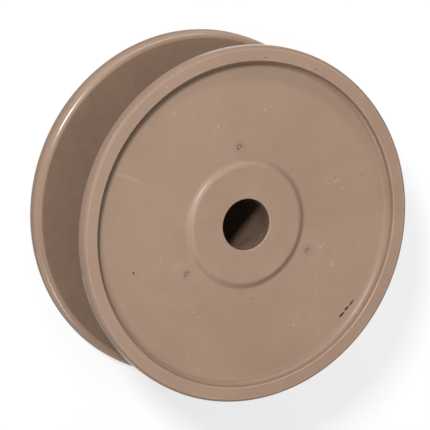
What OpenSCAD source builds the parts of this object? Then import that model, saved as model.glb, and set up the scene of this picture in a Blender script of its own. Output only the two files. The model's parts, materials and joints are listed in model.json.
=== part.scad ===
// Idler wheel: a one-piece moulded spool with two equal flanges, a wide plain groove and a plain bore.
// The wheel stands on the rim of its lower flange. Its axis is +Z and its origin is the wheel's centre.

/* [Wheel] */
// Diameter over the flanges
flange_d = 178; // [150:1:200]
// Width over the rims of both flanges
wheel_w = 66.8; // [60:0.2:80]
// Width of the groove between the flanges, at their edges
groove_w = 50; // [40:0.5:52]
// Slope of the flanges' inner faces, which lets the mould open
groove_draft = 1.5; // [0.5:0.5:3]
// Radius on the outer edge of each flange
outer_edge_r = 1.8; // [0.5:0.1:3]
// Radius that leads into the groove
lead_in_r = 4; // [1:0.1:5]

/* [Face] */
// Radial width of the raised rim
rim_w = 7.6; // [6:0.2:12]
// Depth of the web below the rim
recess_depth = 4.7; // [3:0.1:5.5]
// Slope of the wall between the web and the rim
recess_draft = 8; // [2:1:20]
// Radius on the rim's inner edge
rim_edge_r = 1; // [0.3:0.1:2]
// Radius at the foot of the rim
recess_fillet_r = 4; // [1:0.1:5]
// Diameter of the boss, half way up its slope
boss_d = 61.4; // [54:0.2:66]
// Height of the boss above the web
boss_rise = 1.4; // [0.5:0.1:2]
// Slope of the boss's side
boss_slope = 36; // [20:1:45]
// Radius that blends the boss into the web
boss_blend_r = 3.5; // [1:0.1:4]

/* [Hub] */
// Diameter of the bore, which runs on a 25.4 axle
bore_d = 25.8; // [20:0.1:32]
// Radius on the bore's edges
bore_edge_r = 0.5; // [0.2:0.1:1]
// Diameter of the hub between the flanges
barrel_d = 64; // [56:1:90]
// Radius where the hub meets the flanges
barrel_fillet_r = 8; // [2:0.5:12]

/* [Gate marks] */
// Number of gates that filled the mould
gates = 3; // [2:1:6]
// Radius of the circle that the gates stand on
gate_circle_r = 38.8; // [37:0.2:60]
// Diameter of each gate mark
gate_d = 2.4; // [1.6:0.1:4]
// Depth of each gate mark
gate_depth = 0.35; // [0.1:0.05:0.6]
// Diameter of the stub left in each gate mark
gate_stub_d = 1.2; // [0.6:0.1:1.4]

/* [Hidden] */
$fn = 96;
flange_r = flange_d / 2;
bore_r = bore_d / 2;
barrel_r = barrel_d / 2;
rim_z = wheel_w / 2;
web_z = rim_z - recess_depth;
boss_z = web_z + boss_rise;
rim_inner_r = flange_r - rim_w;
recess_r = rim_inner_r - recess_depth * tan(recess_draft);
boss_half_run = boss_rise / tan(boss_slope) / 2;
groove_z = groove_w / 2;
groove_root_z = groove_z - (flange_r - barrel_r) * tan(groove_draft);
gate_angle = 90;
gate_stub_drop = gate_depth / 3;
// Past a face, so that a cut goes clear through it
cut_past = 0.1;
// Past a corner, so that a sliver overlaps the section it rounds
sliver_past = 0.5;
// Added to a round, so that its arc crosses the sides beside it
round_slack = 0.0005;

// Upper half of the section, from the bore's middle round to the hub, as [radius, height, corner round]
half_section = [
    [bore_r, 0, 0],
    [bore_r, boss_z, bore_edge_r],
    [boss_d / 2 - boss_half_run, boss_z, boss_blend_r],
    [boss_d / 2 + boss_half_run, web_z, boss_blend_r],
    [recess_r, web_z, recess_fillet_r],
    [rim_inner_r, rim_z, rim_edge_r],
    [flange_r, rim_z, outer_edge_r],
    [flange_r, groove_z, lead_in_r],
    [barrel_r, groove_root_z, barrel_fillet_r],
    [barrel_r, 0, 0]
];
last = len(half_section) - 1;

function unit(v) = v / norm(v);
function corner(i) = [half_section[i][0], half_section[i][1]];
function side(i) = corner(i + 1) - corner(i);
function cross_z(a, b) = a[0] * b[1] - a[1] * b[0];
function is_hollow(i) = cross_z(side(i - 1), side(i)) > 0;
function half_angle(i) = acos(-unit(side(i - 1)) * unit(side(i))) / 2;
// Length of side that the round on corner i asks for
function reach(i) = i == 0 || i == last ? 0 : half_section[i][2] / tan(half_angle(i));
// Share of the rounds on its two corners that side i has room for
function room(i) = min(1, norm(side(i)) / (reach(i) + reach(i + 1)));
function round_r(i) = half_section[i][2] * min(room(i - 1), room(i));

// The sliver between corner i of the section and the round on it, carried a little past the corner
module corner_sliver(i) {
    to_last = -unit(side(i - 1));
    to_next = unit(side(i));
    inward = unit(to_last + to_next);
    centre = corner(i) + inward * round_r(i) / sin(half_angle(i));
    touch = round_r(i) / tan(half_angle(i));
    difference() {
        polygon([
            corner(i) - inward * sliver_past,
            corner(i) + to_last * touch,
            centre,
            corner(i) + to_next * touch
        ]);
        translate(centre) circle(round_r(i) + round_slack);
    }
}

// Section of the wheel above its middle plane, with its corners rounded
module upper_section() {
    difference() {
        union() {
            polygon([for (i = [0 : last]) corner(i)]);
            for (i = [1 : last - 1]) if (is_hollow(i)) corner_sliver(i);
        }
        for (i = [1 : last - 1]) if (!is_hollow(i)) corner_sliver(i);
    }
}

// Ring sunk by a gate, round the stub that broke off in it
module gate_mark() {
    difference() {
        translate([0, 0, -gate_depth]) cylinder(d = gate_d, h = gate_depth + cut_past);
        translate([0, 0, -gate_depth - cut_past])
            cylinder(d = gate_stub_d, h = gate_depth - gate_stub_drop + cut_past);
    }
}

module idler_wheel() {
    color("#a68c78")
    difference() {
        rotate_extrude() {
            upper_section();
            mirror([0, 1]) upper_section();
        }
        for (i = [0 : gates - 1])
            rotate(gate_angle + i * 360 / gates)
                translate([gate_circle_r, 0, web_z]) gate_mark();
    }
}

idler_wheel();
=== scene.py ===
"""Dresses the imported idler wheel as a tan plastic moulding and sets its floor, light and camera."""
import json
import math
from types import SimpleNamespace
import bpy
from mathutils import Matrix, Vector
from mathutils.geometry import delaunay_2d_cdt


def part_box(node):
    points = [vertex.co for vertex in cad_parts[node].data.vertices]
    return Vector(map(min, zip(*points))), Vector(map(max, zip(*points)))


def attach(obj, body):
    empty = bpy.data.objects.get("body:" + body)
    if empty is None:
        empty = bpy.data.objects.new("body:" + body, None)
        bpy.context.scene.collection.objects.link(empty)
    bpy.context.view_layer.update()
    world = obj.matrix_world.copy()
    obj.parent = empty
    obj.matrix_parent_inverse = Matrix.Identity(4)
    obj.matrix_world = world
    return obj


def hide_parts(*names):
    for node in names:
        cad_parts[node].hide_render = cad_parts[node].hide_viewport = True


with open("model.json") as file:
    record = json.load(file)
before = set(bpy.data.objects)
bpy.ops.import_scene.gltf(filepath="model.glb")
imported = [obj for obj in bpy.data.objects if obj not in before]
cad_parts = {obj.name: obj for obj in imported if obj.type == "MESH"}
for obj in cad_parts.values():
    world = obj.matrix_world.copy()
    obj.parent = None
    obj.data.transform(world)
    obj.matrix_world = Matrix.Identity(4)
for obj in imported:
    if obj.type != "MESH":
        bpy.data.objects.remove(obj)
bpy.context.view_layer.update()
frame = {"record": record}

MM = 0.001
NODE = "idler_wheel"

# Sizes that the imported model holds
box_low, box_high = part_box(NODE)
mounts = {mount["name"]: mount for mount in frame["record"]["mounts"]}
flange_r = min(box_high.x, box_high.y)
rim_z = box_high.z
bore_r = mounts["bore"]["dims"]["r_mm"] * MM
boss_z = mounts["upper_boss"]["pos_m"][2]

# Sizes repeated from the part's source
groove_z = 25.0 * MM
groove_draft = math.radians(1.5)
outer_edge_r = 1.8 * MM
lead_in_r = 4.0 * MM
rim_w = 7.6 * MM
recess_depth = 4.7 * MM
recess_draft = math.radians(8.0)
boss_d = 61.4 * MM
boss_slope = math.radians(36.0)
boss_blend_r = 3.5 * MM
bore_edge_r = 0.5 * MM
barrel_r = 32.0 * MM
barrel_fillet_r = 8.0 * MM
gate_circle_r = 38.8 * MM
gate_angles = [math.radians(degrees) for degrees in (90, 210, 330)]

# Sizes worked out from those
web_z = rim_z - recess_depth
rim_inner_r = flange_r - rim_w
recess_r = rim_inner_r - recess_depth * math.tan(recess_draft)
boss_half_run = (boss_z - web_z) / math.tan(boss_slope) / 2
groove_root_z = groove_z - (flange_r - barrel_r) * math.tan(groove_draft)

# Rounds in the recess that are a little tighter than the solid's
RIM_EDGE_R = 0.6 * MM
RECESS_FILLET_R = 3.0 * MM

# The groove is shaped by two mould slides. Their lead-in rounds differ a little, and a fine raised line shows
# where they meet
SLIDE_LEAD_IN_R = 3.0 * MM
PARTING_ANGLES = [math.radians(degrees) for degrees in (126.4, 306.4)]
PARTING_HALF = math.radians(0.3)
PARTING_RISE = 0.03 * MM

# Fineness of the mesh: steps round the wheel and along a round, and points that hold a flat beside a round
STEPS_ROUND = 288
ARC_STEP = math.radians(7.5)
LEAST_ARC_STEPS = 4
HOLD = 0.3 * MM
SHORTEST_HELD = 4 * HOLD
PARTING_STEPS = (-1.0, -0.35, 0.0, 0.35, 1.0)
PARTING_CLEAR = 1.6 * PARTING_HALF
SHARP_ANGLE = math.radians(50)
MERGE_WITHIN = 1e-7

# Corners of the upper half of the section: radius, height, round, scuffing and painted highlight (or polish,
# below zero) and how far along the round it lies, soil and painted shade on the round, and soil and painted
# shade on the side before it
# Scuffing on the rim's two corners is partly a painted highlight
# Soil on the recess's fillet and wall and in the groove is painted shade, with some dirt in the groove
CORNERS = [
    (bore_r, boss_z, bore_edge_r, 0.6, 0.5, 0.0, 0.0),
    (boss_d / 2 - boss_half_run, boss_z, boss_blend_r, 0.15, 0.3, 0.0, 0.0),
    (boss_d / 2 + boss_half_run, web_z, boss_blend_r, 0.0, 0.5, 0.06, 0.0),
    (recess_r, web_z, RECESS_FILLET_R, 0.0, 0.5, 0.14, 0.0),
    (rim_inner_r, rim_z, RIM_EDGE_R, 0.85, 0.9, 0.0, 0.36),
    (flange_r, rim_z, outer_edge_r, 1.6, 0.02, 0.3, 0.0),
    (flange_r, groove_z, lead_in_r, -0.75, 0.65, 0.0, 0.06),
    (barrel_r, groove_root_z, barrel_fillet_r, 0.0, 0.5, 0.5, 0.54),
]
# Painted shade, with some dirt, at the foot of the groove
BARREL_SOIL_AND_SHADE = 0.4

# The corner that leads into the groove, and the flats, each by the corner that ends it
LEAD_IN = 6
FLATS = {0: "bore", 1: "boss", 3: "web", 5: "rim"}

# Share of a round that scuffing and painted highlight reach to each side, and how fast the soil and painted
# shade of a side fade along a round
SCUFF_AND_HIGHLIGHT_REACH = 0.3
SOIL_AND_SHADE_FALL = 8


def rounded_corner(before, corner, after, radius):
    """Points along the round of a corner of the section, from one tangent point to the other."""
    to_before = (before - corner).normalized()
    to_after = (after - corner).normalized()
    opening = to_before.angle(to_after)
    turn = math.pi - opening
    middle = (to_before + to_after).normalized()
    centre = corner + middle * (radius / math.sin(opening / 2))
    start = corner + to_before * (radius / math.tan(opening / 2)) - centre
    sense = 1 if to_before.x * to_after.y - to_before.y * to_after.x < 0 else -1
    count = max(LEAST_ARC_STEPS, math.ceil(turn / ARC_STEP))
    points = []
    for i in range(count + 1):
        angle = sense * turn * i / count
        cosine, sine = math.cos(angle), math.sin(angle)
        turned = Vector((cosine * start.x - sine * start.y, sine * start.x + cosine * start.y))
        points.append(centre + turned)
    return points


def upper_section(lead_in):
    """Section points from the bore's middle to the barrel's: place, wear and painted highlight, soil and
    painted shade, part.
    """
    corners = [Vector((bore_r, 0))] + [Vector(row[:2]) for row in CORNERS] + [Vector((barrel_r, 0))]
    soil_sides = [row[6] for row in CORNERS] + [BARREL_SOIL_AND_SHADE]
    points = [(corners[0], 0.0, soil_sides[0], "bore")]
    for i, (_, _, radius, scuff_and_highlight, scuff_and_highlight_at, soil, soil_before) in enumerate(CORNERS):
        if i == LEAD_IN:
            radius = lead_in
        arc = rounded_corner(corners[i], corners[i + 1], corners[i + 2], radius)
        part = "groove" if i >= LEAD_IN else "face"
        last = points[-1][0]
        if (arc[0] - last).length > SHORTEST_HELD:
            along = (arc[0] - last).normalized()
            flat = FLATS.get(i, part)
            if i > 0:
                points.append((last + along * HOLD, 0.0, soil_before, flat))
            points.append((arc[0] - along * HOLD, 0.0, soil_before, flat))
        for j, place in enumerate(arc):
            share = j / (len(arc) - 1)
            wear = scuff_and_highlight * max(0.0, 1.0 - abs(share - scuff_and_highlight_at) / SCUFF_AND_HIGHLIGHT_REACH)
            soil_here = max(
                soil_before * (1.0 - share) ** SOIL_AND_SHADE_FALL,
                soil_sides[i + 1] * share ** SOIL_AND_SHADE_FALL,
                soil * (1.0 - (2.0 * share - 1.0) ** 2),
            )
            points.append((place, wear, soil_here, part))
    points.append((points[-1][0] + Vector((0, -HOLD)), 0.0, BARREL_SOIL_AND_SHADE, "groove"))
    points.append((corners[-1], 0.0, BARREL_SOIL_AND_SHADE, "groove"))
    return points


def whole_section(lead_in):
    """The upper section and its mirror image, as one closed outline."""
    lower_parts = {"groove": "groove", "bore": "bore"}
    lower = []
    for place, wear, soil, part in upper_section(lead_in_r)[-2:0:-1]:
        lower.append((Vector((place.x, -place.y)), wear, soil, lower_parts.get(part, "low")))
    return upper_section(lead_in) + lower


section = whole_section(lead_in_r)
slide_section = whole_section(SLIDE_LEAD_IN_R)


def round_angles():
    """Even steps round the wheel, with close ones where the slides meet."""
    even = [2 * math.pi * i / STEPS_ROUND for i in range(STEPS_ROUND)]
    close = [parting + PARTING_HALF * step for parting in PARTING_ANGLES for step in PARTING_STEPS]
    apart = [angle for angle in even if all(abs(angle - p) > PARTING_CLEAR for p in PARTING_ANGLES)]
    return sorted(apart + close)


angles = round_angles()


def at(radius, angle, height):
    """Point of the wheel at a radius, an angle round its axis and a height."""
    return Vector((radius * math.cos(angle), radius * math.sin(angle), height))


def turned_ring(i):
    """The ring that one point of the section sweeps, with the parting line where it lies in the groove."""
    place, _, _, part = section[i]
    if part != "groove":
        return [at(place.x, angle, place.y) for angle in angles]
    along = (section[(i + 1) % len(section)][0] - section[i - 1][0]).normalized()
    outward = Vector((-along.y, along.x)) * PARTING_RISE
    ring = []
    for angle in angles:
        gap = min(abs(angle - parting) for parting in PARTING_ANGLES) / PARTING_HALF
        first_slide = PARTING_ANGLES[0] <= angle <= PARTING_ANGLES[1]
        slide = section if first_slide else slide_section
        place = slide[i][0] + outward * max(0.0, 1.0 - gap)
        ring.append(at(place.x, angle, place.y))
    return ring


# Material numbers of the faces
PLAIN, SCUFF, SPECK, BORE = 0, 1, 2, 3


class Shell:
    """Vertices and faces of one mesh, each vertex's wear and painted highlight, soil and painted shade, each
    face's material.
    """

    def __init__(self):
        self.points, self.wear, self.soil, self.faces, self.looks = [], [], [], [], []

    def ring(self, places, wear, soil):
        """Adds a ring of points and returns their numbers."""
        first = len(self.points)
        self.points += places
        self.wear += [wear] * len(places)
        self.soil += [soil] * len(places)
        return list(range(first, first + len(places)))

    def face(self, numbers, look):
        """Adds one face."""
        self.faces.append(numbers)
        self.looks.append(look)

    def band(self, inner, outer, look=PLAIN):
        """Joins two rings of the same count by four-sided faces."""
        count = len(inner)
        for i in range(count):
            j = (i + 1) % count
            self.face((inner[i], outer[i], outer[j], inner[j]), look)

    def mesh(self, name, materials):
        """Makes the mesh, smooth but for its sharp edges."""
        mesh = bpy.data.meshes.new(name)
        mesh.from_pydata(self.points, [], self.faces)
        for material in materials:
            mesh.materials.append(material)
        mesh.polygons.foreach_set("material_index", self.looks)
        mesh.polygons.foreach_set("use_smooth", [True] * len(self.faces))
        for attribute, values in (("wear", self.wear), ("soil", self.soil)):
            mesh.attributes.new(attribute, "FLOAT", "POINT").data.foreach_set("value", values)
        mesh.validate()
        mesh.update()
        mesh.set_sharp_from_angle(angle=SHARP_ANGLE)
        return mesh


# Gate marks: a ring sunk round a small stub, as places out from the mark's centre and down from the web in
# mm. Painted shade in it grows with the depth, by the same number.
GATE_SECTION = [
    (1.7, 0.0), (1.42, 0.0), (1.27, 0.05), (1.12, 0.2), (0.96, 0.29),
    (0.8, 0.29), (0.68, 0.2), (0.52, 0.08), (0.32, 0.04),
]
GATE_TIP = 0.03
# The stub's tip is painted paler, a painted highlight
GATE_TIP_HIGHLIGHT = 0.5
GATE_STEPS = 28

# Marks on each flat: radius and angle of both ends in mm and degrees, width in mm and material number
MARKS = {
    "web": [
        (76.0, 79.3, 75.9, 76.6, 0.95, SCUFF),
        (75.6, 76.2, 75.3, 74.0, 1.35, SCUFF),
        (75.5, 73.4, 75.2, 70.6, 1.25, SCUFF),
        (63.4, 311.9, 63.4, 312.9, 1.0, SCUFF),
        (52.0, 221.4, 52.0, 222.6, 1.2, SPECK),
        (57.3, 194.5, 57.3, 195.3, 1.1, SPECK),
        (50.3, 350.9, 50.3, 351.7, 1.0, SPECK),
        (51.0, 354.9, 51.1, 355.6, 0.8, SPECK),
        (52.3, 316.3, 52.2, 317.1, 0.8, SPECK),
        (59.6, 314.5, 59.5, 315.1, 0.8, SPECK),
        (51.9, 133.7, 55.6, 134.3, 0.5, SPECK),
        (50.6, 134.6, 48.5, 134.1, 0.4, SPECK),
        (48.9, 138.7, 49.5, 137.0, 0.5, SPECK),
        (53.9, 131.1, 57.4, 128.5, 0.3, SPECK),
    ],
    "boss": [(21.0, 31.7, 21.0, 32.7, 0.4, SCUFF)],
    "rim": [(83.4, 179.3, 83.4, 179.9, 0.6, SCUFF), (83.2, 199.4, 83.2, 200.0, 0.5, SCUFF)],
}

# Outline of a mark, out along one side and back along the other: share of its length, share of its half width
MARK_OUTLINE = [
    (0.0, 0.35), (0.3, 1.0), (0.65, 0.8), (1.0, 0.45),
    (1.0, -0.3), (0.7, -0.95), (0.35, -0.75), (0.0, -0.5),
]


def mark_outline(start_r, start_degrees, end_r, end_degrees, width):
    """Corners of a short worn mark that narrows unevenly to its ends."""
    start = at(start_r * MM, math.radians(start_degrees), 0).to_2d()
    end = at(end_r * MM, math.radians(end_degrees), 0).to_2d()
    along = end - start
    across = Vector((-along.y, along.x)).normalized() * width * MM / 2
    return [start + along * length + across * side for length, side in MARK_OUTLINE]


def inside(point, outline):
    """True if the point lies within the closed outline."""
    within = False
    for a, b in zip(outline, outline[1:] + outline[:1]):
        if (a.y > point.y) != (b.y > point.y):
            if point.x < a.x + (b.x - a.x) * (point.y - a.y) / (b.y - a.y):
                within = not within
    return within


def gate_mark(shell, angle):
    """Adds one gate mark and returns the ring that its web meets."""
    centre = at(gate_circle_r, angle, web_z)
    turns = [2 * math.pi * i / GATE_STEPS for i in range(GATE_STEPS)]
    rings = []
    for out, down in GATE_SECTION:
        places = [centre + at(out * MM, turn, -down * MM) for turn in turns]
        # The depth also sets each ring's painted shade
        rings.append(shell.ring(places, 0.0, down))
    tip = shell.ring([centre - Vector((0, 0, GATE_TIP * MM))], GATE_TIP_HIGHLIGHT, 0.0)[0]
    for wide, narrow in zip(rings, rings[1:]):
        shell.band(narrow, wide)
    for i in range(GATE_STEPS):
        shell.face((tip, rings[-1][i], rings[-1][(i + 1) % GATE_STEPS]), PLAIN)
    return rings[0]


def fill_flat(shell, part, inner, outer):
    """Fills a flat of the upper face between two rings, round its gate marks and worn marks."""
    height = shell.points[inner[0]].z
    holes = [gate_mark(shell, angle) for angle in gate_angles] if part == "web" else []
    outlines = [(mark_outline(*mark[:5]), mark[5]) for mark in MARKS[part]]
    marks = []
    for outline, _ in outlines:
        marks.append(shell.ring([Vector((p.x, p.y, height)) for p in outline], 0.0, 0.0))
    loops = [inner, outer] + holes + marks
    numbers = [number for loop in loops for number in loop]
    flat = [shell.points[number].to_2d() for number in numbers]
    edges = []
    for loop in loops:
        first = len(edges)
        edges += [(first + i, first + (i + 1) % len(loop)) for i in range(len(loop))]
    points, _, faces, sources, _, _ = delaunay_2d_cdt(flat, edges, [], 0, MERGE_WITHIN)
    outer_edge = [shell.points[number].to_2d() for number in outer]
    openings = [[shell.points[number].to_2d() for number in loop] for loop in [inner] + holes]
    for face in faces:
        middle = sum((points[i] for i in face), Vector((0, 0))) / len(face)
        if not inside(middle, outer_edge) or any(inside(middle, opening) for opening in openings):
            continue
        looks = [look for outline, look in outlines if inside(middle, outline)] + [PLAIN]
        shell.face(tuple(numbers[sources[i][0]] for i in face), looks[0])


def moulded_wheel(materials):
    """The wheel's whole surface, turned from its section."""
    shell = Shell()
    rings = [shell.ring(turned_ring(i), wear, soil) for i, (_, wear, soil, _) in enumerate(section)]
    for i, (_, _, _, part) in enumerate(section):
        j = (i + 1) % len(section)
        one_part = part == section[j][3]
        if one_part and part in MARKS:
            fill_flat(shell, part, rings[i], rings[j])
        else:
            shell.band(rings[i], rings[j], BORE if one_part and part == "bore" else PLAIN)
    return shell.mesh("moulded_wheel", materials)


class Graph:
    """Adds nodes to a node tree and links them."""

    def __init__(self, tree):
        self.tree = tree
        tree.nodes.clear()

    def fill(self, socket, value):
        """Links a socket to another one, or sets its value."""
        if isinstance(value, bpy.types.NodeSocket):
            self.tree.links.new(value, socket)
        else:
            socket.default_value = value

    def add(self, kind, values=None, **settings):
        """A node with its settings and the values or links of its sockets."""
        node = self.tree.nodes.new(kind)
        for name, value in settings.items():
            setattr(node, name, value)
        for socket, value in (values or {}).items():
            self.fill(node.inputs[socket], value)
        return node

    def maths(self, operation, a, b=0.0, c=0.0):
        """The result of a sum on one to three numbers."""
        return self.add("ShaderNodeMath", {0: a, 1: b, 2: c}, operation=operation).outputs[0]

    def product(self, first, *others):
        """Numbers multiplied together."""
        for other in others:
            first = self.maths("MULTIPLY", first, other)
        return first

    def total(self, first, *others):
        """Numbers added together."""
        for other in others:
            first = self.maths("ADD", first, other)
        return first

    def vector(self, operation, a, b=(0.0, 0.0, 0.0)):
        """The vector that a sum on vectors gives."""
        return self.add("ShaderNodeVectorMath", {0: a, 1: b}, operation=operation).outputs["Vector"]

    def measure(self, operation, a, b=(0.0, 0.0, 0.0)):
        """The number that a sum on vectors gives."""
        return self.add("ShaderNodeVectorMath", {0: a, 1: b}, operation=operation).outputs["Value"]

    def ramp(self, value, start, end, low=0.0, high=1.0):
        """A value eased from low to high between start and end."""
        values = {"Value": value, "From Min": start, "From Max": end, "To Min": low, "To Max": high}
        return self.add("ShaderNodeMapRange", values, interpolation_type="SMOOTHSTEP").outputs["Result"]

    def window(self, value, start, full, fading, end):
        """1 between full and fading, eased to 0 at start and at end."""
        return self.product(self.ramp(value, start, full), self.ramp(value, fading, end, 1.0, 0.0))

    def stripe(self, offset, core, edge, strength):
        """A line's strength within core of its middle, eased to 0 at edge."""
        return self.ramp(self.maths("ABSOLUTE", offset), core, edge, strength, 0.0)

    def noise(self, place, scale, detail=2.0, roughness=0.5):
        """Noise from 0 to 1 whose lumps are about 1/scale metres across."""
        values = {"Vector": place, "Scale": scale, "Detail": detail, "Roughness": roughness}
        return self.add("ShaderNodeTexNoise", values).outputs["Fac"]

    def mix(self, amount, under, over):
        """One colour laid over another."""
        node = self.add("ShaderNodeMix", data_type="RGBA", clamp_factor=True)
        for socket, value in ((0, amount), (6, under), (7, over)):
            self.fill(node.inputs[socket], value)
        return node.outputs[2]

    def scaled(self, colour, amount):
        """A colour made brighter or darker."""
        values = {0: colour, "Scale": amount}
        return self.add("ShaderNodeVectorMath", values, operation="SCALE").outputs["Vector"]

    def bump(self, height, strength, depth, **under):
        """A normal tilted by a height, on top of the Normal given, if any."""
        values = {"Strength": strength, "Distance": depth, "Height": height, **under}
        return self.add("ShaderNodeBump", values).outputs["Normal"]

    def finish(self, values):
        """Ends a material in a surface shader with the given values."""
        shader = self.add("ShaderNodeBsdfPrincipled", values)
        self.add("ShaderNodeOutputMaterial", {"Surface": shader.outputs[0]})


def new_material(name):
    """An empty node material and its graph."""
    material = bpy.data.materials.new(name)
    material.use_nodes = True
    return material, Graph(material.node_tree)


# Colours of the plastic: plain, rubbed with painted highlight, in its pale flecks, on its flash line with
# painted reflection, and under soil and painted shade
TAN = (0.39, 0.26, 0.187, 1.0)
RUBBED_AND_HIGHLIT = (0.49, 0.35, 0.262, 1.0)
FLECK = (0.54, 0.41, 0.32, 1.0)
FLASH_AND_REFLECTION = (0.62, 0.49, 0.4, 1.0)
SOIL_AND_SHADE = (0.11, 0.07, 0.047, 1.0)

# Noises in the plastic: lumps per metre, detail and the detail's roughness
CLOUDS = (26.0, 3.0, 0.55)
PATCHES = (110.0, 3.0, 0.6)
GRAIN = (1100.0, 2.0, 0.5)
FLECKS = (430.0, 1.0, 0.5)
WAVES = (38.0, 1.0, 0.5)
SKIN = (900.0, 2.0, 0.5)

# Parts of a noise's range that are eased over
MIDDLE = (0.3, 0.7)
WIDE_MIDDLE = (0.25, 0.75)
NARROW_MIDDLE = (0.35, 0.65)

# Brightness of the colour across each noise, from its low end to its high one
CLOUD_SHADE, PATCH_SHADE, GRAIN_SHADE = (0.965, 1.03), (0.985, 1.012), (0.985, 1.015)

# How patches break up the rubbed places and painted highlights, the soil and painted shade, the rings of
# painted shade and the gates' blush: least and most
RUBBED_AND_HIGHLIT_START = (0.3, 0.65)
PATCHY_RUB_AND_HIGHLIGHT, PATCHY_SOIL_AND_SHADE, PATCHY_RING, PATCHY_BLUSH = (0.45, 1.0), (0.88, 1.1), (0.8, 1.15), (0.6, 1.2)
RUBBED_AND_HIGHLIT_SHARE = 0.5

# Pale flecks: the part of their noise and of the clouds where they show, and their strength
FLECK_START, FLECK_GROUPS, FLECK_STRENGTH = (0.69, 0.76), (0.5, 0.62), 0.42

# Roughness across the clouds, what each thing adds to it, and the gloss of clean plastic and of plastic under
# soil and painted shade
ROUGHNESS = (0.31, 0.37)
RUBBED_AND_HIGHLIT_ROUGHER, PATCH_ROUGHER, SOIL_AND_SHADE_ROUGHER, EDGE_ROUGHER = 0.22, 0.05, 0.25, -0.18
FULL_SOIL_AND_SHADE = 0.5
CLEAN_SPECULAR, SOIL_AND_SHADE_SPECULAR = 0.5, 0.12

# Strength and depth of the bumps: long waves in the faces and the fine skin of the moulding
WAVE_BUMP, SKIN_BUMP = (0.2, 0.12 * MM), (0.25, 0.02 * MM)

# Heights between which a face, with its boss, web and rim, starts
FACE_START = (web_z - 1.2 * MM, web_z - 0.6 * MM)

# Flow marks round the gates: how far they wander, then the rings' scale, shade and reach, the blush's core,
# edge and shade, the ring of painted shade in the sunk ring and its strength, and the broken arc's radius,
# core, edge, shade and breaks
FLOW_WANDER = 3.0 * MM
FLOW_SCALE, FLOW_SHADE = 260.0, 0.018
FLOW_REACH = (8 * MM, 34 * MM)
BLUSH_CORE, BLUSH_EDGE, BLUSH_SHADE = 2.2 * MM, 8 * MM, -0.09
GATE_PAINTED_SHADE_RING, GATE_PAINTED_SHADE = (0.5 * MM, 1.2 * MM, 1.4 * MM, 2.3 * MM), -0.15
FLOW_ARC_R, FLOW_ARC = 9.2 * MM, (0.3 * MM, 1.3 * MM, 0.04)
FLOW_ARC_BREAKS = (0.48, 0.58)

# Knit lines, where two flows met: angle in degrees and shade of each, how far they wander, their core and
# edge, and the distances from the axis between which they show
KNIT_LINES = [(271.0, 0.14), (30.0, 0.025), (150.0, 0.025)]
KNIT_WANDER = 1.6 * MM
KNIT_CORE, KNIT_EDGE = 0.2 * MM, 0.85 * MM
KNIT_REACH = (48 * MM, 68 * MM, 75.5 * MM, 77 * MM)

# Soft spots, paler or darker than the rest: radius, angle and height in mm and degrees, size of the core and
# of the whole spot in mm, shade
SPOTS = [
    (53.0, 135.9, web_z / MM, 0.0, 3.0, 0.04),
    (53.4, 136.5, web_z / MM, 0.3, 1.1, -0.17),
    (68.8, 131.9, web_z / MM, 0.2, 1.0, -0.16),
    (38.0, 30.3, web_z / MM, 0.3, 1.2, -0.35),
    (88.6, 305.8, 31.3, 0.3, 1.2, -0.3),
]

# Dark rub across the lower flange in the groove: its ends, its core, edge and shade, how far along it shows,
# and the heights between which it shows
RUB_START = at(85.5 * MM, math.radians(248.9), 0.0)
RUB_END = at(75.2 * MM, math.radians(253.6), 0.0)
RUB_LINE = (0.2 * MM, 1.1 * MM, -0.12)
RUB_REACH = (-1 * MM, 2 * MM, 7 * MM, 12 * MM)
RUB_HEIGHTS = (-28 * MM, -26 * MM, -23 * MM, -20 * MM)

# Rings of painted shade on each face: radii where it starts, is full, fades and ends in mm, the angle where
# it is thickest, its least strength and its most. It thickens between two cosines of the angle from there.
# Boss foot: painted shade on its side away from the key light. Recess: a soft painted shadow on its
# near side, and painted shade in its corner all round.
PAINTED_SHADE_RINGS = [
    (30.4, 31.2, 32.2, 33.8, 100.0, 0.0, 0.3),
    (75.5, 78.5, 79.3, 80.3, 275.0, 0.0, 0.3),
    (78.2, 79.2, 80.7, 81.3, 10.0, 0.16, 0.24),
]
PAINTED_SHADE_COSINES = (-0.2, 0.8)

# The flange's outer edge, and the pale flash line where the second slide shuts on it, partly painted
# reflection
EDGE_START = (flange_r - 0.35 * MM, flange_r - 0.1 * MM)
FLASH_AND_REFLECTION_LINE = (0.1 * MM, 0.6 * MM, 0.75)
FLASH_AND_REFLECTION_START = 0.4 * MM


def surface(graph):
    """Places on the wheel, and the noises that its marks share."""
    place = graph.add("ShaderNodeTexCoord").outputs["Object"]
    height = graph.add("ShaderNodeSeparateXYZ", {0: place}).outputs["Z"]
    return SimpleNamespace(
        place=place,
        height=height,
        radius=graph.measure("LENGTH", graph.vector("MULTIPLY", place, (1.0, 1.0, 0.0))),
        upper_face=graph.ramp(height, *FACE_START),
        either_face=graph.ramp(graph.maths("ABSOLUTE", height), *FACE_START),
        clouds=graph.noise(place, *CLOUDS),
        patches=graph.noise(place, *PATCHES),
        grain=graph.noise(place, *GRAIN),
    )


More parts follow.
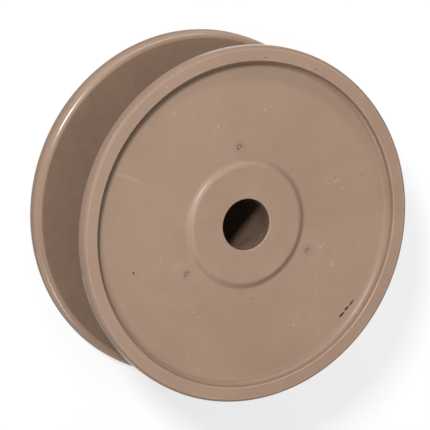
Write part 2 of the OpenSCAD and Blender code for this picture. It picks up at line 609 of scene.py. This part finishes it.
def flow_marks(graph, here):
    """Shade of the rings, the blush, the painted shade in the sunk ring and the broken arc round the gates.
    """
    nearest = None
    for angle in gate_angles:
        gap = graph.measure("DISTANCE", here.place, at(gate_circle_r, angle, web_z))
        nearest = gap if nearest is None else graph.maths("MINIMUM", nearest, gap)
    wander = graph.maths("MULTIPLY_ADD", here.patches, FLOW_WANDER, nearest)
    values = {"W": wander, "Scale": FLOW_SCALE, "Detail": 1.0}
    rings = graph.add("ShaderNodeTexNoise", values, noise_dimensions="1D").outputs["Fac"]
    rings = graph.ramp(rings, *NARROW_MIDDLE, -FLOW_SHADE, FLOW_SHADE)
    rings = graph.product(rings, graph.ramp(nearest, *FLOW_REACH, 1.0, 0.0))
    blush = graph.ramp(wander, BLUSH_CORE, BLUSH_EDGE, BLUSH_SHADE, 0.0)
    blush = graph.product(blush, graph.ramp(here.patches, *MIDDLE, *PATCHY_BLUSH))
    # Painted shade in and round the sunk ring
    soil = graph.product(graph.window(nearest, *GATE_PAINTED_SHADE_RING), GATE_PAINTED_SHADE)
    arc = graph.stripe(graph.maths("SUBTRACT", wander, FLOW_ARC_R), *FLOW_ARC)
    arc = graph.product(arc, graph.ramp(here.patches, *FLOW_ARC_BREAKS))
    return graph.product(graph.total(rings, blush, soil, arc), here.upper_face)


def uneven(graph, here, distance, amount):
    """A distance that patches make uneven, by half the amount either way."""
    return graph.maths("MULTIPLY_ADD", graph.maths("SUBTRACT", here.patches, 0.5), amount, distance)


def knit_line(graph, here, degrees, shade):
    """Shade of a pale line on the web where two flows met."""
    angle = math.radians(degrees)
    along = graph.measure("DOT_PRODUCT", here.place, at(1.0, angle, 0.0))
    across = graph.measure("DOT_PRODUCT", here.place, at(1.0, angle + math.pi / 2, 0.0))
    line = graph.stripe(uneven(graph, here, across, KNIT_WANDER), KNIT_CORE, KNIT_EDGE, shade)
    return graph.product(line, graph.window(along, *KNIT_REACH), here.upper_face)


def soft_spot(graph, here, radius, degrees, height, core, edge, shade):
    """Shade of a small soft spot with an uneven edge."""
    gap = graph.measure("DISTANCE", here.place, at(radius * MM, math.radians(degrees), height * MM))
    return graph.ramp(uneven(graph, here, gap, edge * MM), core * MM, edge * MM, shade, 0.0)


def groove_rub(graph, here):
    """Shade of the dark rub across the lower flange in the groove."""
    way = (RUB_END - RUB_START).normalized()
    from_start = graph.vector("SUBTRACT", here.place, RUB_START)
    along = graph.measure("DOT_PRODUCT", from_start, way)
    across = graph.measure("DOT_PRODUCT", from_start, Vector((-way.y, way.x, 0.0)))
    in_groove = graph.window(here.height, *RUB_HEIGHTS)
    return graph.product(graph.stripe(across, *RUB_LINE), graph.window(along, *RUB_REACH), in_groove)


def pale_flecks(graph, here):
    """Strength of the fine pale flecks that lie in groups on the upper face."""
    flecks = graph.ramp(graph.noise(here.place, *FLECKS), *FLECK_START, 0.0, FLECK_STRENGTH)
    return graph.product(flecks, graph.ramp(here.clouds, *FLECK_GROUPS), here.upper_face)


def soil_ring(graph, here, start, full, fading, end, degrees, least, most):
    """Strength of the painted shade in one ring on each face."""
    towards = graph.measure("DOT_PRODUCT", here.place, at(1.0, math.radians(degrees), 0.0))
    strength = graph.ramp(graph.maths("DIVIDE", towards, here.radius), *PAINTED_SHADE_COSINES, least, most)
    ring = graph.window(here.radius, start * MM, full * MM, fading * MM, end * MM)
    patchy = graph.ramp(here.patches, *WIDE_MIDDLE, *PATCHY_RING)
    return graph.product(ring, strength, patchy, here.either_face)


def flash_and_reflection_line(graph, here, on_edge):
    """Strength of the flash line and painted reflection, on the second slide's side of the flange's edge."""
    from_first = graph.measure("DOT_PRODUCT", here.place, at(-1.0, PARTING_ANGLES[0] + math.pi / 2, 0.0))
    from_shut = graph.maths("SUBTRACT", graph.maths("ABSOLUTE", here.height), groove_z + SLIDE_LEAD_IN_R)
    line = graph.stripe(from_shut, *FLASH_AND_REFLECTION_LINE)
    return graph.product(line, graph.ramp(from_first, 0.0, FLASH_AND_REFLECTION_START), on_edge)


def tan_plastic():
    """Semi-matt tan moulding with flow marks, knit lines, soil and painted shade in the corners, and rubbed
    edges with painted highlights.
    """
    material, graph = new_material("tan_plastic")
    here = surface(graph)
    wear = graph.add("ShaderNodeAttribute", attribute_name="wear").outputs["Fac"]
    soil = graph.add("ShaderNodeAttribute", attribute_name="soil").outputs["Fac"]
    rubbed_and_highlit = graph.product(wear, graph.ramp(here.patches, *RUBBED_AND_HIGHLIT_START, *PATCHY_RUB_AND_HIGHLIGHT))
    soiled = graph.product(soil, graph.ramp(here.patches, *WIDE_MIDDLE, *PATCHY_SOIL_AND_SHADE))
    on_edge = graph.ramp(here.radius, *EDGE_START)

    # Brightness of the colour, from its clouds down to its grain, and then each mark's own
    shade = graph.product(
        graph.ramp(here.clouds, *MIDDLE, *CLOUD_SHADE),
        graph.ramp(here.patches, *MIDDLE, *PATCH_SHADE),
        graph.ramp(here.grain, *MIDDLE, *GRAIN_SHADE),
    )
    shade = graph.total(shade, flow_marks(graph, here))
    shade = graph.total(shade, *[knit_line(graph, here, *row) for row in KNIT_LINES])
    shade = graph.total(shade, *[soft_spot(graph, here, *row) for row in SPOTS])
    shade = graph.total(shade, groove_rub(graph, here))

    # Rubbed places are paler, partly as a painted highlight on the rim's corners and the gate stubs
    colour = graph.mix(graph.product(rubbed_and_highlit, RUBBED_AND_HIGHLIT_SHARE), TAN, RUBBED_AND_HIGHLIT)
    # Soil and painted shade: the recess's wall and fillet and the groove are painted darker
    colour = graph.mix(soiled, colour, SOIL_AND_SHADE)
    colour = graph.mix(pale_flecks(graph, here), colour, FLECK)
    # Rings of painted shade at the boss's foot and in the recess
    for row in PAINTED_SHADE_RINGS:
        colour = graph.mix(soil_ring(graph, here, *row), colour, SOIL_AND_SHADE)
    # The flash line's pale colour is partly a painted reflection
    colour = graph.mix(flash_and_reflection_line(graph, here, on_edge), colour, FLASH_AND_REFLECTION)

    # Rubbed places with painted highlight, uneven places, and soiled places with painted shade are rougher,
    # and the flange's edge is smoother
    roughness = graph.ramp(here.clouds, *MIDDLE, *ROUGHNESS)
    roughness = graph.maths("MULTIPLY_ADD", rubbed_and_highlit, RUBBED_AND_HIGHLIT_ROUGHER, roughness)
    roughness = graph.maths("MULTIPLY_ADD", here.patches, PATCH_ROUGHER, roughness)
    roughness = graph.maths("MULTIPLY_ADD", soiled, SOIL_AND_SHADE_ROUGHER, roughness)
    roughness = graph.maths("MULTIPLY_ADD", on_edge, EDGE_ROUGHER, roughness)

    waves = graph.bump(graph.noise(here.place, *WAVES), *WAVE_BUMP)
    skin = graph.bump(graph.noise(here.place, *SKIN), *SKIN_BUMP, Normal=waves)
    graph.finish({
        "Base Color": graph.scaled(colour, shade),
        "Roughness": roughness,
        "Specular IOR Level": graph.ramp(soiled, 0.0, FULL_SOIL_AND_SHADE, CLEAN_SPECULAR, SOIL_AND_SHADE_SPECULAR),
        "Normal": skin,
    })
    return material


# Worn marks: their noise and how much they shine
MARK_NOISE = (2600.0, 2.0, 0.5)
MARK_SPECULAR = 0.2


def mark_material(name, dark, pale, roughness):
    """A worn mark whose colour is broken up by fine noise."""
    material, graph = new_material(name)
    place = graph.add("ShaderNodeTexCoord").outputs["Object"]
    specks = graph.ramp(graph.noise(place, *MARK_NOISE), *NARROW_MIDDLE)
    graph.finish({
        "Base Color": graph.mix(specks, dark, pale),
        "Roughness": roughness,
        "Specular IOR Level": MARK_SPECULAR,
    })
    return material


# Bore: its colours between its turning marks, on them and in its dark patches, the noise of both, how close
# the marks lie along the axis, and its roughness between them with what they add
BORE_DARK, BORE_PALE = (0.15, 0.095, 0.066, 1.0), (0.2, 0.132, 0.094, 1.0)
BORE_PATCH, BORE_PATCH_SHARE = (0.1, 0.064, 0.045, 1.0), 0.4
BORE_MARKS, BORE_PATCHES = (150.0, 3.0, 0.6), (90.0, 3.0, 0.6)
BORE_STRETCH = (1.0, 1.0, 14.0)
BORE_ROUGHNESS, BORE_MARK_ROUGHER = 0.5, 0.1
BORE_BUMP = (0.3, 0.03 * MM)
BORE_SPECULAR = 0.15


def rubbed_bore():
    """Bore polished and darkened by its axle, with fine marks running round it."""
    material, graph = new_material("rubbed_bore")
    place = graph.add("ShaderNodeTexCoord").outputs["Object"]
    stretched = graph.vector("MULTIPLY", place, BORE_STRETCH)
    marks = graph.ramp(graph.noise(stretched, *BORE_MARKS), *MIDDLE)
    patches = graph.ramp(graph.noise(place, *BORE_PATCHES), *MIDDLE)
    colour = graph.mix(marks, BORE_DARK, BORE_PALE)
    colour = graph.mix(graph.product(patches, BORE_PATCH_SHARE), colour, BORE_PATCH)
    graph.finish({
        "Base Color": colour,
        "Roughness": graph.maths("MULTIPLY_ADD", marks, BORE_MARK_ROUGHER, BORE_ROUGHNESS),
        "Specular IOR Level": BORE_SPECULAR,
        "Normal": graph.bump(marks, *BORE_BUMP),
    })
    return material


# In the order of the material numbers
materials = [
    tan_plastic(),
    mark_material("dark_scuff", (0.03, 0.014, 0.009, 1.0), (0.085, 0.045, 0.028, 1.0), 0.7),
    mark_material("pale_speck", (0.47, 0.35, 0.27, 1.0), (0.56, 0.43, 0.34, 1.0), 0.5),
    rubbed_bore(),
]
wheel = bpy.data.objects.new("moulded_wheel", moulded_wheel(materials))
bpy.context.scene.collection.objects.link(wheel)
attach(wheel, "root")
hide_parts(NODE)


# Floor: its colour and half its side, and what the camera sees added to it near the wheel and far away
FLOOR_COLOUR = (0.34, 0.34, 0.34, 1.0)
FLOOR_HALF = 6.0
NEAR_LIFT, FAR_LIFT = 0.7, 1.0
LIFT_REACH = (0.3, 2.5)

# The floor is mirrored in the wheel only where it lies behind the wheel and clear of it
BEHIND_WAY = (-0.2, 1.0, 0.0)
BEHIND_START = (-44 * MM, -20 * MM)
CLEAR_START = (98 * MM, 106 * MM)

# World: a dim studio that is white only towards the horizon, where a low camera looks past the floor
WORLD_LIGHT = 0.02
MIRRORED_SKY = 0.25
HORIZON = (0.06, 0.25)
WHITE = (1.0, 1.0, 1.0, 1.0)


def seen_directly(graph, mirrored):
    """1 for the camera's own rays and refracted ones, and the given share of that for mirrored ones."""
    path = graph.add("ShaderNodeLightPath").outputs
    seen = graph.maths("MAXIMUM", path["Is Camera Ray"], path["Is Transmission Ray"])
    return graph.maths("MAXIMUM", seen, graph.product(path["Is Glossy Ray"], mirrored))


def floor_material():
    """A pale floor that keeps the wheel's shadow."""
    material, graph = new_material("pale_floor")
    place = graph.add("ShaderNodeTexCoord").outputs["Object"]
    distance = graph.measure("LENGTH", place)
    behind = graph.ramp(graph.measure("DOT_PRODUCT", place, BEHIND_WAY), *BEHIND_START)
    seen = seen_directly(graph, graph.product(behind, graph.ramp(distance, *CLEAR_START)))
    lift = graph.ramp(distance, *LIFT_REACH, NEAR_LIFT, FAR_LIFT)
    matt = graph.add("ShaderNodeBsdfDiffuse", {"Color": FLOOR_COLOUR})
    lifted = graph.add("ShaderNodeEmission", {"Strength": graph.product(seen, lift)})
    both = graph.add("ShaderNodeAddShader", {0: matt.outputs[0], 1: lifted.outputs[0]})
    graph.add("ShaderNodeOutputMaterial", {"Surface": both.outputs[0]})
    return material


def pale_floor():
    """A square floor that the wheel lies on."""
    signs = [(-1, -1), (1, -1), (1, 1), (-1, 1)]
    mesh = bpy.data.meshes.new("floor")
    mesh.from_pydata([(x * FLOOR_HALF, y * FLOOR_HALF, box_low.z) for x, y in signs], [], [(0, 1, 2, 3)])
    mesh.materials.append(floor_material())
    floor = bpy.data.objects.new("floor", mesh)
    bpy.context.scene.collection.objects.link(floor)
    return floor


def studio():
    """The world's dim light, with its white horizon."""
    world = bpy.data.worlds.new("studio")
    world.use_nodes = True
    graph = Graph(world.node_tree)
    way = graph.add("ShaderNodeTexCoord").outputs["Generated"]
    rise = graph.add("ShaderNodeSeparateXYZ", {0: way}).outputs["Z"]
    white = graph.ramp(rise, *HORIZON, 1.0 - WORLD_LIGHT, 0.0)
    white = graph.product(white, seen_directly(graph, MIRRORED_SKY))
    sky = graph.add("ShaderNodeBackground", {"Color": WHITE, "Strength": graph.total(white, WORLD_LIGHT)})
    graph.add("ShaderNodeOutputWorld", {"Surface": sky.outputs[0]})
    return world


pale_floor()
bpy.context.scene.world = studio()

# Soft lamps: azimuth and elevation in degrees, distance, width and height in metres, power in watts
LAMPS = {
    "key_light": (253.0, 43.3, 3.2, 0.52, 0.52, 79.0),
    "top_light": (270.0, 89.0, 1.8, 1.2, 1.2, 9.4),
    "left_fill": (198.0, 24.0, 1.8, 1.5, 0.25, 11.0),
    "right_fill": (345.0, 13.0, 1.8, 0.5, 0.5, 9.0),
}


def softbox(name, azimuth, elevation, distance, width, height, power):
    """Adds an area light aimed at the wheel's centre, with its width level."""
    light = bpy.data.lights.new(name, "AREA")
    light.shape = "RECTANGLE"
    light.size = width
    light.size_y = height
    light.energy = power
    rise = math.radians(elevation)
    away = at(math.cos(rise), math.radians(azimuth), math.sin(rise))
    aim = away.to_track_quat("Z", "Y").to_matrix().to_4x4()
    lamp = bpy.data.objects.new(name, light)
    lamp.matrix_world = Matrix.Translation(away * distance) @ aim
    bpy.context.scene.collection.objects.link(lamp)


for lamp_name, lamp_values in LAMPS.items():
    softbox(lamp_name, *lamp_values)

# Camera at the photograph's view: it looks down on the wheel's face and is rolled
VIEW_AZIMUTH, VIEW_ELEVATION, VIEW_ROLL = (math.radians(degrees) for degrees in (0.37, 61.17, 112.32))
VIEW_DISTANCE = 1326.2 * MM
AIM_RIGHT, AIM_UP = -2.09 * MM, -0.72 * MM
FOCAL_PIXELS, FRAME_PIXELS = 2647.8, 430
SENSOR_WIDTH = 36.0


def photo_camera():
    """The camera, placed by its view's angles."""
    back = Vector((
        math.cos(VIEW_ELEVATION) * math.sin(VIEW_AZIMUTH),
        -math.cos(VIEW_ELEVATION) * math.cos(VIEW_AZIMUTH),
        math.sin(VIEW_ELEVATION),
    ))
    level_right = Vector((0, 0, 1)).cross(back).normalized()
    level_up = back.cross(level_right)
    right = level_right * math.cos(VIEW_ROLL) + level_up * math.sin(VIEW_ROLL)
    up = back.cross(right)
    lens = bpy.data.cameras.new("camera")
    lens.sensor_width = SENSOR_WIDTH
    lens.lens = SENSOR_WIDTH * FOCAL_PIXELS / FRAME_PIXELS
    camera = bpy.data.objects.new("camera", lens)
    camera.matrix_world = Matrix((right, up, back)).transposed().to_4x4()
    camera.matrix_world.translation = back * VIEW_DISTANCE + right * AIM_RIGHT + up * AIM_UP
    bpy.context.scene.collection.objects.link(camera)
    return camera


bpy.context.scene.camera = photo_camera()
bpy.context.scene.view_settings.view_transform = "Standard"
